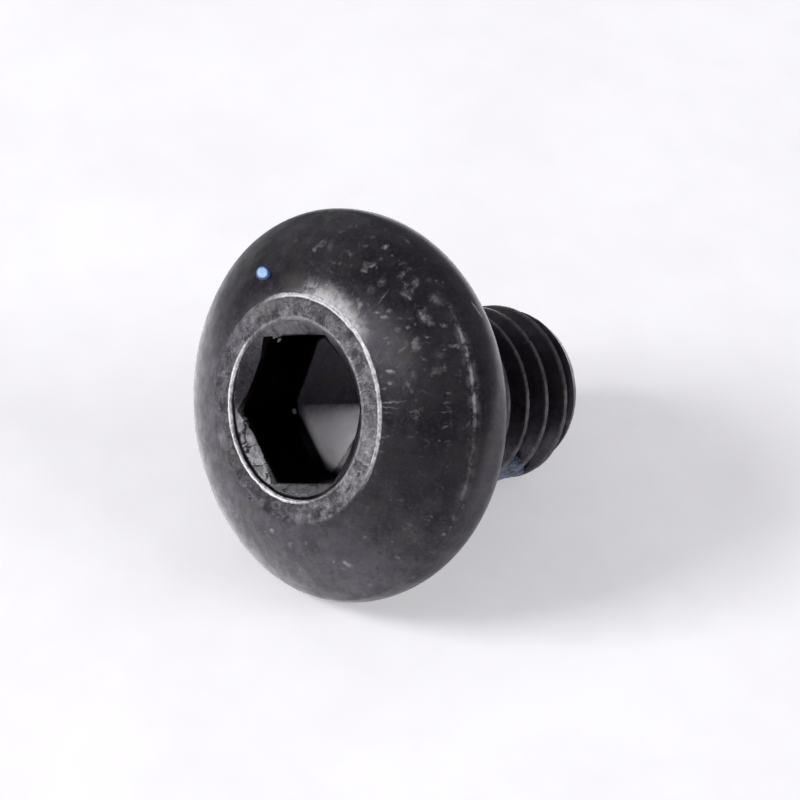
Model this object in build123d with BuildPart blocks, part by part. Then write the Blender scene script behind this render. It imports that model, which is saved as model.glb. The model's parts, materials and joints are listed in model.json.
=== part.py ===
from build123d import *
# Low button-head screw with a hexagon socket, M5 x 0.8, 6 mm under the head.
# It lies at rest on its rim and on the crest of its last thread.
#
# Frame: +Z up, the floor at Z = 0, the head facing -Y and tilted up, the tip
# towards +Y. X = 0 is the plane through the screw's axis. Millimetres.
#
# Height along the screw's own axis is written h: 0 at the bearing face under
# the head, positive towards the top of the head, negative towards the tip.
from math import asin, atan2, cos, degrees, hypot, radians, sin, tan
import os

os.makedirs("parts", exist_ok=True)

# ---- driving dimensions (mm) ------------------------------------------------
head_diameter = 10.8
head_height = 3.12
bearing_face_diameter = 9.8     # flat ring under the head
rim_height = 1.26               # h of the widest circle of the rim
crease_diameter = 10.59         # line where the rim band meets the dome
crease_height = 1.70
dome_bulge = 0.22               # how far the dome stands off its chord
land_outer_diameter = 6.23      # flat ring round the socket's mouth
land_inner_diameter = 4.93      # mouth of the countersink

socket_across_flats = 4.0
socket_wall_depth = 2.42        # from the land down to the foot of the walls
socket_corner_angle = 0.2       # turn of one hexagon corner from the up line
countersink_angle = 110.0       # included angle of the countersunk mouth
socket_point_angle = 140.0      # included angle of the cone at the bottom
socket_point_diameter = 3.92

thread_diameter = 4.9           # M5 thread, measured over its crests
shank_length = 6.12             # bearing face to tip
tip_diameter = 4.06
tip_chamfer_length = 0.78       # tapers from thread_diameter to tip_diameter
neck_fillet = 0.2               # between the shank and the bearing face

film_edge_thickness = 0.05      # thread-locking compound over the crests, at its ends
film_head_thickness = 0.08      # the same, 0.6 in from its head end
film_tip_thickness = 0.10       # the same, 0.6 in from its tip end
film_taper = 0.6
film_start = -2.0               # h of its edge near the head
film_end = -5.1                 # h of its edge near the tip
film_half_angle = 69.0          # each side of straight down

bearing_centre_y = -1.0797       # puts the middle of the bounding box at Y = 0

# ---- derived ----------------------------------------------------------------
head_r = head_diameter / 2
bearing_r = bearing_face_diameter / 2
crease_r = crease_diameter / 2
land_outer_r = land_outer_diameter / 2
land_inner_r = land_inner_diameter / 2
shank_r = thread_diameter / 2
tip_r = tip_diameter / 2
chamfer_start = -(shank_length - tip_chamfer_length)

# two tangent arcs make the rim, both with their centre at rim_height
under_in = head_r - bearing_r
lower_arc_r = (under_in**2 + rim_height**2) / (2 * under_in)
over_in = head_r - crease_r
over_up = crease_height - rim_height
upper_arc_r = (over_in**2 + over_up**2) / (2 * over_in)
lower_sweep = degrees(atan2(rim_height, lower_arc_r - under_in))
upper_sweep = degrees(atan2(over_up, upper_arc_r - over_in))

# the dome's middle point, on the outer side of its chord
chord_r = land_outer_r - crease_r
chord_h = head_height - crease_height
chord = hypot(chord_r, chord_h)
dome_mid = (
    (crease_r + land_outer_r) / 2 + dome_bulge * chord_h / chord,
    (crease_height + head_height) / 2 - dome_bulge * chord_r / chord,
)

# the floor touches the rim's lower arc and the last full crest
reach_h = rim_height - chamfer_start
reach_r = head_r - lower_arc_r - shank_r
tilt = atan2(reach_r, reach_h) + asin(lower_arc_r / hypot(reach_r, reach_h))
bearing_centre_z = lower_arc_r + (head_r - lower_arc_r) * cos(tilt) - rim_height * sin(tilt)

centre = Vector(0, bearing_centre_y, bearing_centre_z)
axis_up = Vector(0, -cos(tilt), sin(tilt))      # tip to head
radial_up = Vector(0, sin(tilt), cos(tilt))     # square to the axis, in X = 0

screw_axis = Axis(centre, axis_up)
profile_plane = Plane(origin=centre, x_dir=radial_up, z_dir=(1, 0, 0))


def cross_plane(h):
    """The plane square to the screw's axis at height h, its x towards radial_up."""
    return Plane(origin=centre + axis_up * h, x_dir=radial_up, z_dir=axis_up)


# ---- screw: head, socket and shank in one piece ------------------------------
with BuildPart() as screw:
    # half section through the axis: x is the radius, y is h
    with BuildSketch(profile_plane):
        with BuildLine():
            Polyline(
                (0, head_height),
                (0, -shank_length),
                (tip_r, -shank_length),
                (shank_r, chamfer_start),
                (shank_r, -neck_fillet),
            )
            CenterArc((shank_r + neck_fillet, -neck_fillet), neck_fillet, 180, -90)
            Line((shank_r + neck_fillet, 0), (bearing_r, 0))
            CenterArc((head_r - lower_arc_r, rim_height), lower_arc_r, -lower_sweep, lower_sweep)
            CenterArc((head_r - upper_arc_r, rim_height), upper_arc_r, 0, upper_sweep)
            ThreePointArc((crease_r, crease_height), dome_mid, (land_outer_r, head_height))
            Line((land_outer_r, head_height), (0, head_height))
        make_face()
    revolve(axis=screw_axis, revolution_arc=360)

    # hexagon socket, straight walls
    with BuildSketch(cross_plane(head_height)):
        RegularPolygon(
            radius=socket_across_flats / 2 / cos(radians(30)),
            side_count=6,
            rotation=socket_corner_angle,
        )
    extrude(amount=-socket_wall_depth, mode=Mode.SUBTRACT)

    # countersunk mouth and the conical point left by the punch
    with BuildSketch(profile_plane):
        with BuildLine():
            Polyline(
                (0, head_height),
                (land_inner_r, head_height),
                (0, head_height - land_inner_r / tan(radians(countersink_angle / 2))),
                close=True,
            )
        make_face()
        with BuildLine():
            Polyline(
                (0, head_height - socket_wall_depth),
                (socket_point_diameter / 2, head_height - socket_wall_depth),
                (
                    0,
                    head_height
                    - socket_wall_depth
                    - socket_point_diameter / 2 / tan(radians(socket_point_angle / 2)),
                ),
                close=True,
            )
        make_face()
    revolve(axis=screw_axis, revolution_arc=360, mode=Mode.SUBTRACT)

screw.part.label = "screw"

# ---- threadlocker_patch: the film of compound on the underside of the shank ---
# it was put on from the tip, so it is a little thicker there, and thin at both ends
first = radians(180 - film_half_angle)
first_radial = radial_up * cos(first) + Vector(-1, 0, 0) * sin(first)
film_plane = Plane(origin=centre, x_dir=first_radial, z_dir=first_radial.cross(axis_up))

with BuildPart() as threadlocker_patch:
    with BuildSketch(film_plane):
        with BuildLine():
            Polyline(
                (shank_r, film_start),
                (shank_r + film_edge_thickness, film_start),
                (shank_r + film_head_thickness, film_start - film_taper),
                (shank_r + film_tip_thickness, film_end + film_taper),
                (shank_r + film_edge_thickness, film_end),
                (shank_r, film_end),
                close=True,
            )
        make_face()
    revolve(axis=screw_axis, revolution_arc=2 * film_half_angle)

threadlocker_patch.part.label = "threadlocker_patch"

# ---- files -------------------------------------------------------------------
export_step(screw.part, "parts/screw.step")
export_step(threadlocker_patch.part, "parts/threadlocker_patch.step")

box = screw.part.bounding_box()
print("tilt", round(degrees(tilt), 3), "bearing centre", tuple(round(v, 4) for v in centre))
print("axis towards the head", tuple(round(v, 6) for v in axis_up))
print("screw box", tuple(box.min), tuple(box.max), "volume", round(screw.part.volume, 3))
film_box = threadlocker_patch.part.bounding_box()
print("film box", tuple(film_box.min), tuple(film_box.max), "volume", round(threadlocker_patch.part.volume, 4))
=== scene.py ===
import bpy, json, math
import numpy as np
from mathutils import Matrix, Vector


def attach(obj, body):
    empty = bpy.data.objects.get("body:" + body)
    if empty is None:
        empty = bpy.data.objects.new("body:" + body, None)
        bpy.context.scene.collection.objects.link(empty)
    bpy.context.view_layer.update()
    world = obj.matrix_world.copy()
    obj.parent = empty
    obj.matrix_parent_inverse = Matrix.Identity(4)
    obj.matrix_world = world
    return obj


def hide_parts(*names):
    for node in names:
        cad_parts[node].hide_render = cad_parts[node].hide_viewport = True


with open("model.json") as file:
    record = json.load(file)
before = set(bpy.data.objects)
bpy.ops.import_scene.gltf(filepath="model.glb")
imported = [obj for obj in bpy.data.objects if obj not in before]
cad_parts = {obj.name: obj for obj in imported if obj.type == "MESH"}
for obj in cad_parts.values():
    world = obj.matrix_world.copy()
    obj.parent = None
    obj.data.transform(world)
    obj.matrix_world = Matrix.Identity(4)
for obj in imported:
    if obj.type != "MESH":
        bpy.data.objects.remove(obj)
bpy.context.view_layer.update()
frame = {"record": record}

# ------------------------------------------------------------------ the frame
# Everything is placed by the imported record's mounts. Lengths below are in
# millimetres along and across the screw's own axis, turned to metres at the end.
MM = 0.001
mounts = {m["name"]: m for m in frame["record"]["mounts"]}
AX = -np.array(mounts["thread"]["axis"], float)
AX /= np.linalg.norm(AX)                      # tip to head
HEAD_H = 3.12
CENTRE = np.array(mounts["hex_drive"]["pos_m"], float) / MM - HEAD_H * AX
WX = np.array([-1.0, 0.0, 0.0])               # square to the axis, level
UP = np.cross(WX, AX)                         # square to the axis, in X = 0
if UP[2] < 0:
    UP = -UP
# theta turns from UP towards WX, right-handed about AX


def place(r, theta, h):
    """Row-frame metres of points given by radius, angle and height on the axis."""
    r, theta, h = np.broadcast_arrays(r, theta, h)
    p = (
        CENTRE
        + h[..., None] * AX
        + (r * np.cos(theta))[..., None] * UP
        + (r * np.sin(theta))[..., None] * WX
    )
    return p * MM


# ------------------------------------------------------------------ numbers
RIM_R, RIM_H = 5.40, 1.26
BEAR_R = 4.90
CREASE_R, CREASE_H = 5.295, 1.70
LAND_OUT, LAND_IN = 3.115, 2.465
DOME_BULGE = 0.22
FLAT = 2.0                                    # half the socket's across-flats
CS_TAN = math.tan(math.radians(55.0))
POINT_TAN = math.tan(math.radians(70.0))
APEX_H = -0.093
LENGTH = 6.12
TIP_R = 2.03
CREST_R, ROOT_R = 2.45, 1.975
PITCH = 0.8
NECK_R = 2.24
THETA0 = math.radians(0.2)                   # one hexagon corner
CREST_H0, CREST_T0 = -3.617, math.radians(-56.61)   # a point on the crest line

N = 360
TH = THETA0 + np.arange(N) * 2 * math.pi / N


# ------------------------------------------------------------------ noise
def _hash(ix, iy, iz, seed):
    n = (ix * 73856093) ^ (iy * 19349663) ^ (iz * 83492791) ^ (seed * 2654435761)
    n = n & 0xFFFFFFFF
    n = ((n >> 16) ^ n) * 0x45D9F3B & 0xFFFFFFFF
    n = ((n >> 16) ^ n) * 0x45D9F3B & 0xFFFFFFFF
    n = (n >> 16) ^ n
    return (n & 0xFFFF) / 65535.0


def vnoise(p, freq, seed):
    """Smooth noise, -1 to 1, at points given in millimetres."""
    q = np.asarray(p) * freq + 1000.0
    i = np.floor(q).astype(np.int64)
    f = q - i
    f = f * f * (3 - 2 * f)
    out = 0.0
    for dx in (0, 1):
        for dy in (0, 1):
            for dz in (0, 1):
                w = (
                    (f[..., 0] if dx else 1 - f[..., 0])
                    * (f[..., 1] if dy else 1 - f[..., 1])
                    * (f[..., 2] if dz else 1 - f[..., 2])
                )
                out = out + w * _hash(i[..., 0] + dx, i[..., 1] + dy, i[..., 2] + dz, seed)
    return out * 2 - 1


def fbm(p, freq, seed, octaves=3):
    s, a, t = 0.0, 1.0, 0.0
    for k in range(octaves):
        s = s + a * vnoise(p, freq * 2**k, seed + 17 * k)
        t += a
        a *= 0.5
    return s / t


def local(r, theta, h):
    r, theta, h = np.broadcast_arrays(r, theta, h)
    return np.stack([r * np.cos(theta), r * np.sin(theta), h], -1)


def smooth(x, a, b):
    t = np.clip((x - a) / (b - a), 0, 1)
    return t * t * (3 - 2 * t)


def arc_window(theta, mid_deg, half_deg, soft_deg):
    """1 within half_deg of mid_deg, falling to 0 over soft_deg."""
    d = np.abs((np.degrees(theta) - mid_deg + 180) % 360 - 180)
    return 1 - smooth(d, half_deg, half_deg + soft_deg)


# ------------------------------------------------------------------ the profile
def circle3(p, q, s):
    (ax, ay), (bx, by), (cx, cy) = p, q, s
    d = 2 * (ax * (by - cy) + bx * (cy - ay) + cx * (ay - by))
    ux = ((ax**2 + ay**2) * (by - cy) + (bx**2 + by**2) * (cy - ay) + (cx**2 + cy**2) * (ay - by)) / d
    uy = ((ax**2 + ay**2) * (cx - bx) + (bx**2 + by**2) * (ax - cx) + (cx**2 + cy**2) * (bx - ax)) / d
    return ux, uy, math.hypot(ax - ux, ay - uy)


chord = np.array([LAND_OUT - CREASE_R, HEAD_H - CREASE_H])
chord_len = float(np.hypot(*chord))
dome_mid = (
    (CREASE_R + LAND_OUT) / 2 + DOME_BULGE * chord[1] / chord_len,
    (CREASE_H + HEAD_H) / 2 - DOME_BULGE * chord[0] / chord_len,
)
DX, DY, DR = circle3((CREASE_R, CREASE_H), dome_mid, (LAND_OUT, HEAD_H))
dome_a0 = math.atan2(CREASE_H - DY, CREASE_R - DX)
dome_a1 = math.atan2(HEAD_H - DY, LAND_OUT - DX)

under_in = RIM_R - BEAR_R
LOW_R = (under_in**2 + RIM_H**2) / (2 * under_in)
over_in, over_up = RIM_R - CREASE_R, CREASE_H - RIM_H
UPP_R = (over_in**2 + over_up**2) / (2 * over_in)

delta = (TH - THETA0) % math.radians(60) - math.radians(30)
hex_r = FLAT / np.cos(delta)
hex_r = np.minimum(hex_r, 2.285 + 0.02 * np.cos(6 * (TH - THETA0)))

rows = []       # each row is (r[N], h[N])


def row(r, h):
    rows.append((np.broadcast_to(np.asarray(r, float), (N,)).copy(), np.broadcast_to(np.asarray(h, float), (N,)).copy()))


# the bottom of the socket: six shallow facets left by the punch, the corners
# rounder down here than at the mouth, the foot rounded into the walls
deep_r = np.minimum(FLAT / np.cos(delta), 2.17 + 0.03 * np.cos(6 * (TH - THETA0)))
tipped = 0.05 * np.cos(TH - math.radians(80))


def bottom_h(r):
    across = r * (0.35 + 0.65 * np.cos(delta) / math.cos(math.radians(22)))
    return APEX_H + np.sqrt(across**2 + 0.10**2) / POINT_TAN + tipped * r / 2


for t in (0.08, 0.18, 0.30, 0.42, 0.54, 0.66, 0.77, 0.86, 0.925, 0.965, 0.988):
    r = deep_r * t
    row(r, bottom_h(r) + 0.05 * smooth(t, 0.88, 1.0) ** 2)
foot = bottom_h(deep_r) + 0.05
row(deep_r * 0.999, foot + 0.05)

# the walls
mouth = HEAD_H - (LAND_IN - hex_r) / CS_TAN
for t in (0.07, 0.2, 0.4, 0.6, 0.78, 0.9, 0.955):
    row(deep_r + (hex_r - deep_r) * smooth(t, 0.0, 0.9), foot + (mouth - foot) * t)

# the countersunk mouth, with a rolled lip round it and a fine groove inside
lip = 0.35 + 0.65 * arc_window(TH, 165, 55, 30)
cs = []
for t in (0.0, 0.08, 0.25, 0.45, 0.62, 0.74):
    r = hex_r + (LAND_IN - 0.03 - hex_r) * t
    h = HEAD_H - (LAND_IN - r) / CS_TAN
    if t == 0.0:
        r = r + 0.012
        h = h - 0.018
    row(r, h)
row(LAND_IN - 0.075, HEAD_H - 0.075 / CS_TAN - 0.012 * lip)
row(LAND_IN - 0.050, HEAD_H - 0.050 / CS_TAN - 0.040 * lip)
row(LAND_IN - 0.022, HEAD_H - 0.022 / CS_TAN - 0.006 * lip)
row(LAND_IN + 0.004, HEAD_H + 0.016 * lip)
row(LAND_IN + 0.034, HEAD_H + 0.026 * lip)
row(LAND_IN + 0.070, HEAD_H + 0.016 * lip)
row(LAND_IN + 0.105, HEAD_H + 0.002 * lip)

# the land
LAND0 = len(rows)
for r in (2.63, 2.70, 2.77, 2.84, 2.90, 2.95, 3.00):
    row(r, HEAD_H)
# a little burnished ridge runs round its outer edge, tallest on the right
ridge = 1.0 * arc_window(TH, 332, 48, 30)
row(3.035, HEAD_H + 0.0020 * ridge)
row(3.070, HEAD_H + 0.0085 * ridge)
row(3.105, HEAD_H + 0.0110 * ridge - 0.002)
row(3.140, HEAD_H + 0.0060 * ridge - 0.009)
row(3.170, HEAD_H - 0.0165 - 0.006 * ridge)
# the dome
for t in np.linspace(0.955, 0.02, 30):
    a = dome_a0 + (dome_a1 - dome_a0) * t
    row(DX + DR * math.cos(a), DY + DR * math.sin(a))
DOME1 = len(rows)
# the crease, a slightly rounded edge
row(CREASE_R - 0.012, CREASE_H + 0.012)
row(CREASE_R + 0.003, CREASE_H - 0.006)
# the rim
ua = math.atan2(over_up, UPP_R - over_in)
for t in (0.93, 0.8, 0.6, 0.4, 0.2, 0.0):
    row(RIM_R - UPP_R + UPP_R * math.cos(ua * t), RIM_H + UPP_R * math.sin(ua * t))
la = math.atan2(RIM_H, LOW_R - under_in)
for t in (0.14, 0.28, 0.42, 0.56, 0.70, 0.84, 0.95):
    row(RIM_R - LOW_R + LOW_R * math.cos(la * t), RIM_H - LOW_R * math.sin(la * t))
row(BEAR_R - 0.02, 0.0)
# the bearing face
for r in (4.75, 4.4, 3.8, 3.2, 2.8, 2.62):
    row(r, 0.0)
# the fillet into the neck
for a in (20, 45, 70, 90):
    row(NECK_R + 0.3 - 0.3 * math.sin(math.radians(a)), -0.3 + 0.3 * math.cos(math.radians(a)))
H_TOP = -0.3
HEAD_ROWS = len(rows)

# ------------------------------------------------------------------ the thread
def thread_r(phase):
    """Radius at a phase of the pitch: 0 is the middle of the crest, 0.5 the root."""
    x = np.abs((phase + 0.5) % 1.0 - 0.5) * PITCH
    crest, t30 = 0.052, math.tan(math.radians(30))
    flank = CREST_R + 0.012 - (x - crest) / t30
    r = np.minimum(CREST_R - 0.4 * x**2, flank)
    root, k = ROOT_R, 0.10
    hgt = np.clip(0.5 + 0.5 * (r - root) / k, 0, 1)
    return root * (1 - hgt) + r * hgt + k * hgt * (1 - hgt)


def phase_of(theta, h):
    return (h - CREST_H0) / PITCH - (theta - CREST_T0) / (2 * math.pi)


def shank_r(theta, h):
    r = thread_r(phase_of(theta, h))
    fade = smooth(-h, 0.25, 0.95)                       # run-out towards the neck
    r = NECK_R + (r - NECK_R) * fade
    return np.minimum(r, TIP_R + 0.03 + (h + LENGTH) * 0.5385)


offs = np.array([-0.5, -0.42, -0.36, -0.29, -0.22, -0.15, -0.105, -0.075, -0.045, 0.0,
                 0.045, 0.075, 0.105, 0.15, 0.22, 0.29, 0.36, 0.42])
M = len(offs)
q_hi = (H_TOP - CREST_H0) / PITCH - (TH[0] - CREST_T0) / (2 * math.pi) + 0.01
q_lo = (-LENGTH - CREST_H0) / PITCH - (TH[0] - CREST_T0) / (2 * math.pi) - 1.01
turn0 = math.ceil(q_hi) + 1
qs = []
for k in range(turn0, math.floor(q_lo) - 2, -1):
    for o in offs[::-1]:
        qs.append(k + o)
qs = np.array(qs)
keep = (qs < q_hi + 0.6) & (qs > q_lo - 0.6)
first = int(np.argmax(keep))
first -= first % M
last = len(qs) - int(np.argmax(keep[::-1]))
last = first + int(math.ceil((last - first) / M)) * M
qs = qs[first:last]
# height of helical row i in column j; the last column joins the first, M rows up
col = np.arange(N) / N
hraw = CREST_H0 + PITCH * (qs[:, None] + (TH[0] - CREST_T0) / (2 * math.pi) + col[None, :])

verts, faces = [], []


def add_vert(r, th, h):
    verts.append((r, th, h))
    return len(verts) - 1


apex_top = add_vert(0.0, 0.0, APEX_H + 0.10 / POINT_TAN)
ring = []
for r, h in rows:
    base = len(verts)
    verts.extend(zip(r, TH, h))
    ring.append(base + np.arange(N))
# helical part
top_ring = ring[-1]
base = len(verts)
bot_h = -LENGTH
bottom = []
for j in range(N):
    bottom.append(add_vert(TIP_R, TH[j], bot_h))
bottom = np.array(bottom)
EPS = 0.004
idx = np.empty(hraw.shape, np.int64)
for i in range(hraw.shape[0]):
    for j in range(N):
        h = hraw[i, j]
        if h >= H_TOP - EPS:
            idx[i, j] = top_ring[j]
        elif h <= bot_h + EPS:
            idx[i, j] = bottom[j]
        else:
            idx[i, j] = -1
free = np.argwhere(idx < 0)
fh = hraw[free[:, 0], free[:, 1]]
fth = TH[free[:, 1]]
fr = shank_r(fth, fh)
start = len(verts)
verts.extend(zip(fr, fth, fh))
idx[free[:, 0], free[:, 1]] = start + np.arange(len(free))


def quad(a, b, c, d):
    """Adds a face, dropping repeated corners."""
    f = []
    for v in (a, b, c, d):
        if v not in f:
            f.append(v)
    if len(f) >= 3:
        faces.append(tuple(int(v) for v in f))


for j in range(N):
    j2 = (j + 1) % N
    faces.append((apex_top, int(ring[0][j2]), int(ring[0][j]))[::-1])
    for i in range(len(ring) - 1):
        quad(ring[i][j], ring[i + 1][j], ring[i + 1][j2], ring[i][j2])
R_ = idx.shape[0]
for j in range(N):
    wrap = j == N - 1
    j2 = (j + 1) % N
    for i in range(R_ - 1):
        a, b = idx[i, j], idx[i + 1, j]
        if wrap:
            # column N is column 0, one pitch further up its list of rows
            ia, ib = i - M, i + 1 - M
            d = idx[ia, 0] if ia >= 0 else top_ring[0]
            c = idx[ib, 0] if ib >= 0 else top_ring[0]
        else:
            d, c = idx[i, j2], idx[i + 1, j2]
        quad(a, b, c, d)

# the tip: a shallow cup with a rounded edge
tip_rows = [(1.96, -LENGTH - 0.0), (1.85, -LENGTH + 0.012), (1.5, -LENGTH + 0.04), (0.9, -LENGTH + 0.055), (0.45, -LENGTH + 0.06)]
prev = bottom
for r, h in tip_rows:
    cur = []
    for j in range(N):
        cur.append(add_vert(r, TH[j], h))
    cur = np.array(cur)
    for j in range(N):
        j2 = (j + 1) % N
        quad(prev[j], cur[j], cur[j2], prev[j2])
    prev = cur
apex_bot = add_vert(0.0, 0.0, -LENGTH + 0.06)
for j in range(N):
    quad(prev[j], apex_bot, prev[(j + 1) % N], prev[(j + 1) % N])

V = np.array(verts, float)


# ------------------------------------------------------------------ hand-worn detail in the mesh
def dent(r, th, h, rr, tt, size_r, size_t, depth):
    """A soft dent at radius rr and angle tt (degrees), depth along the surface's height."""
    dth = (np.degrees(th) - tt + 180) % 360 - 180
    d2 = ((r - rr) / size_r) ** 2 + (np.radians(dth) * rr / size_t) ** 2
    return -depth * np.exp(-d2)


r, th, h = V[:, 0].copy(), V[:, 1], V[:, 2].copy()
P = local(r, th, h)
onland = (h > HEAD_H - 0.03) & (r > LAND_IN - 0.03) & (r < 3.12)
upper = (h > CREASE_H + 0.02) & (r > LAND_IN - 0.2)
dh = np.zeros(len(V))
dh += np.where(onland, 0.0075 * fbm(P, 4.2, 3, 2) + 0.0025 * vnoise(P, 11.0, 9), 0)
dh += np.where(upper & ~onland, 0.0035 * fbm(P, 1.6, 21, 2), 0)
for rr, tt, sr, st, dd in (
    (3.02, 338, 0.10, 0.30, 0.030),
    (3.06, 333, 0.08, 0.16, 0.030),
    (2.95, 225, 0.16, 0.10, 0.035),
    (2.75, 233, 0.12, 0.10, 0.030),
    (2.80, 208, 0.14, 0.20, 0.018),
    (3.00, 133, 0.12, 0.15, 0.015),
    (2.85, 23, 0.14, 0.22, 0.014),
    (2.90, 63, 0.14, 0.20, 0.012),
):
    dh += np.where(upper, dent(r, th, h, rr, tt, sr, st, dd), 0)
# a burr turned into the socket at the top flat
burr = np.exp(-(((np.degrees(th) - 51 + 180) % 360 - 180) / 2.2) ** 2)
atmouth = (h > HEAD_H - 0.45) & (r < LAND_IN - 0.1) & (h > HEAD_H - 0.36)
r = r - np.where(atmouth, 0.07 * burr, 0)
# nicks on the thread's crests
crestish = (h < -0.7) & (r > 2.36)
nick = np.clip(vnoise(P, 3.2, 77) - 0.62, 0, 1) * 0.12 + np.clip(vnoise(P, 7.0, 79) - 0.5, 0, 1) * 0.035
r = r - np.where(crestish, nick, 0)
r = r + np.where((h < -0.7) & (h > -LENGTH + 0.02), 0.004 * fbm(P, 4.0, 55, 2), 0)
h = h + dh

co = place(r, th, h)
mesh = bpy.data.meshes.new("screw_body")
mesh.from_pydata([tuple(c) for c in co], [], faces)
mesh.validate()
mesh.update()
screw = bpy.data.objects.new("screw_body", mesh)
bpy.context.scene.collection.objects.link(screw)

import bmesh
bm = bmesh.new()
bm.from_mesh(mesh)
bmesh.ops.remove_doubles(bm, verts=bm.verts, dist=2e-8)
bmesh.ops.recalc_face_normals(bm, faces=bm.faces)
open_edges = sum(1 for e in bm.edges if len(e.link_faces) != 2)
vol = bm.calc_volume(signed=True)
tris = sum(len(f.verts) - 2 for f in bm.faces)
bm.to_mesh(mesh)
bm.free()
print("screw_body triangles", tris, "open edges", open_edges, "volume mm3", round(vol * 1e9, 2))
for p in mesh.polygons:
    p.use_smooth = True
mesh.set_sharp_from_angle(angle=math.radians(38))

# ------------------------------------------------------------------ the film of compound
def film_mesh():
    nt, nh = 150, 110
    t0, t1 = math.radians(180 - 70), math.radians(180 + 70)
    h0, h1 = -1.95, -5.45
    tt = np.linspace(t0, t1, nt)
    hh = np.linspace(h0, h1, nh)
    T, Hh = np.meshgrid(tt, hh, indexing="ij")
    Pq = local(np.full_like(T, 2.4), T, Hh)
    base_r = shank_r(T, Hh)
    ragged = 0.16 * fbm(Pq, 1.6, 101, 3)
    edge_t = 1 - smooth(np.abs(np.degrees(T) - 180) / (70 - 8 * smooth(-Hh, 3.6, 5.3)) + ragged, 0.82, 0.99)
    # nearer the tip the film narrows towards the underside
    mid, half = (h0 + h1) / 2, (h0 - h1) / 2
    wander = 0.05 * np.sin(3.1 * T + 0.7) + 0.03 * np.sin(7.7 * T)
    edge_h = 1 - smooth(np.abs(Hh - mid) / half + 0.9 * ragged + wander, 0.84, 1.0)
    edge_h = edge_h * smooth(1 - np.abs(Hh - mid) / half, 0.005, 0.05)
    cover = edge_t * edge_h
    lump = 0.075 * fbm(Pq, 2.6, 131, 3) + 0.020 * vnoise(Pq, 7.0, 151)
    blob = 0.09 * np.exp(-(((np.degrees(T) - 222) / 9) ** 2) - ((Hh + 4.25) / 0.45) ** 2)
    fill = 2.425 + lump + blob
    outer = base_r + (np.maximum(fill, base_r + 0.006) - base_r) * smooth(cover, 0.05, 0.75) - 0.06 * (1 - smooth(cover, 0.0, 0.15))
    outer = np.minimum(outer, 2.525 + 0.8 * blob)
    inner = base_r - 0.09
    outer = np.maximum(outer, inner + 0.02)
    vs, fs = [], []
    for a in (outer, inner):
        vs.extend([tuple(c) for c in place(a, T, Hh).reshape(-1, 3)])
    g = lambda s, i, j: s * nt * nh + i * nh + j
    for i in range(nt - 1):
        for j in range(nh - 1):
            fs.append((g(0, i, j), g(0, i + 1, j), g(0, i + 1, j + 1), g(0, i, j + 1)))
            fs.append((g(1, i, j), g(1, i, j + 1), g(1, i + 1, j + 1), g(1, i + 1, j)))
    for i in range(nt - 1):
        fs.append((g(0, i, 0), g(1, i, 0), g(1, i + 1, 0), g(0, i + 1, 0)))
        fs.append((g(0, i, nh - 1), g(0, i + 1, nh - 1), g(1, i + 1, nh - 1), g(1, i, nh - 1)))
    for j in range(nh - 1):
        fs.append((g(0, 0, j), g(0, 0, j + 1), g(1, 0, j + 1), g(1, 0, j)))
        fs.append((g(0, nt - 1, j), g(1, nt - 1, j), g(1, nt - 1, j + 1), g(0, nt - 1, j + 1)))
    m = bpy.data.meshes.new("threadlocker_film")
    m.from_pydata(vs, [], fs)
    m.validate()
    b = bmesh.new()
    b.from_mesh(m)
    bmesh.ops.recalc_face_normals(b, faces=b.faces)
    print("film open edges", sum(1 for e in b.edges if len(e.link_faces) != 2), "volume mm3", round(b.calc_volume(signed=True) * 1e9, 3))
    b.to_mesh(m)
    b.free()
    for p in m.polygons:
        p.use_smooth = True
    return m


film = bpy.data.objects.new("threadlocker_film", film_mesh())
bpy.context.scene.collection.objects.link(film)


# ------------------------------------------------------------------ a stray drop on the dome
CAM_POS = np.array([77.39795, -67.68695, 92.81982])
def dome_point(radius):
    hgt = DY + math.sqrt(DR**2 - (radius - DX) ** 2)
    nr, nh = (radius - DX) / DR, (hgt - DY) / DR
    return hgt, nr, nh


DROP_R, DROP_DEG = 3.929, 48.4


def drop_mesh(radius, theta_deg, size, height):
    hgt, nr, nh = dome_point(radius)
    th_ = math.radians(theta_deg)
    o = CENTRE + hgt * AX + radius * (math.cos(th_) * UP + math.sin(th_) * WX)
    n = nh * AX + nr * (math.cos(th_) * UP + math.sin(th_) * WX)
    eye = CAM_POS - o
    eye = eye / np.linalg.norm(eye)
    tng = eye - (eye @ n) * n
    tng = tng / np.linalg.norm(tng)
    lean = 1.0 / (eye @ n)              # a long oval that looks round from the camera
    bi = np.cross(n, tng)
    vs, fs = [], []
    nn, kk = 32, 7
    vs.append(tuple((o + n * height) * MM))
    for k in range(1, kk + 1):
        a = k / kk * math.pi / 2
        for j in range(nn):
            ang = 2 * math.pi * j / nn
            rr = size / 2 * math.sin(a) * (1 + 0.05 * math.sin(3 * ang + 1.0))
            z = height * math.cos(a) - (0.008 if k == kk else 0)
            vs.append(tuple((o + n * z + rr * (lean * math.cos(ang) * tng + math.sin(ang) * bi)) * MM))
    for j in range(nn):
        fs.append((0, 1 + j, 1 + (j + 1) % nn))
    for k in range(kk - 1):
        for j in range(nn):
            a0, a1 = 1 + k * nn + j, 1 + k * nn + (j + 1) % nn
            fs.append((a0, a0 + nn, a1 + nn, a1))
    fs.append(tuple(1 + (kk - 1) * nn + j for j in range(nn)))
    m = bpy.data.meshes.new("threadlocker_drop")
    m.from_pydata(vs, [], fs)
    m.validate()
    b = bmesh.new()
    b.from_mesh(m)
    bmesh.ops.recalc_face_normals(b, faces=b.faces)
    b.to_mesh(m)
    b.free()
    for p in m.polygons:
        p.use_smooth = len(p.vertices) < 8
    return m


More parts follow.
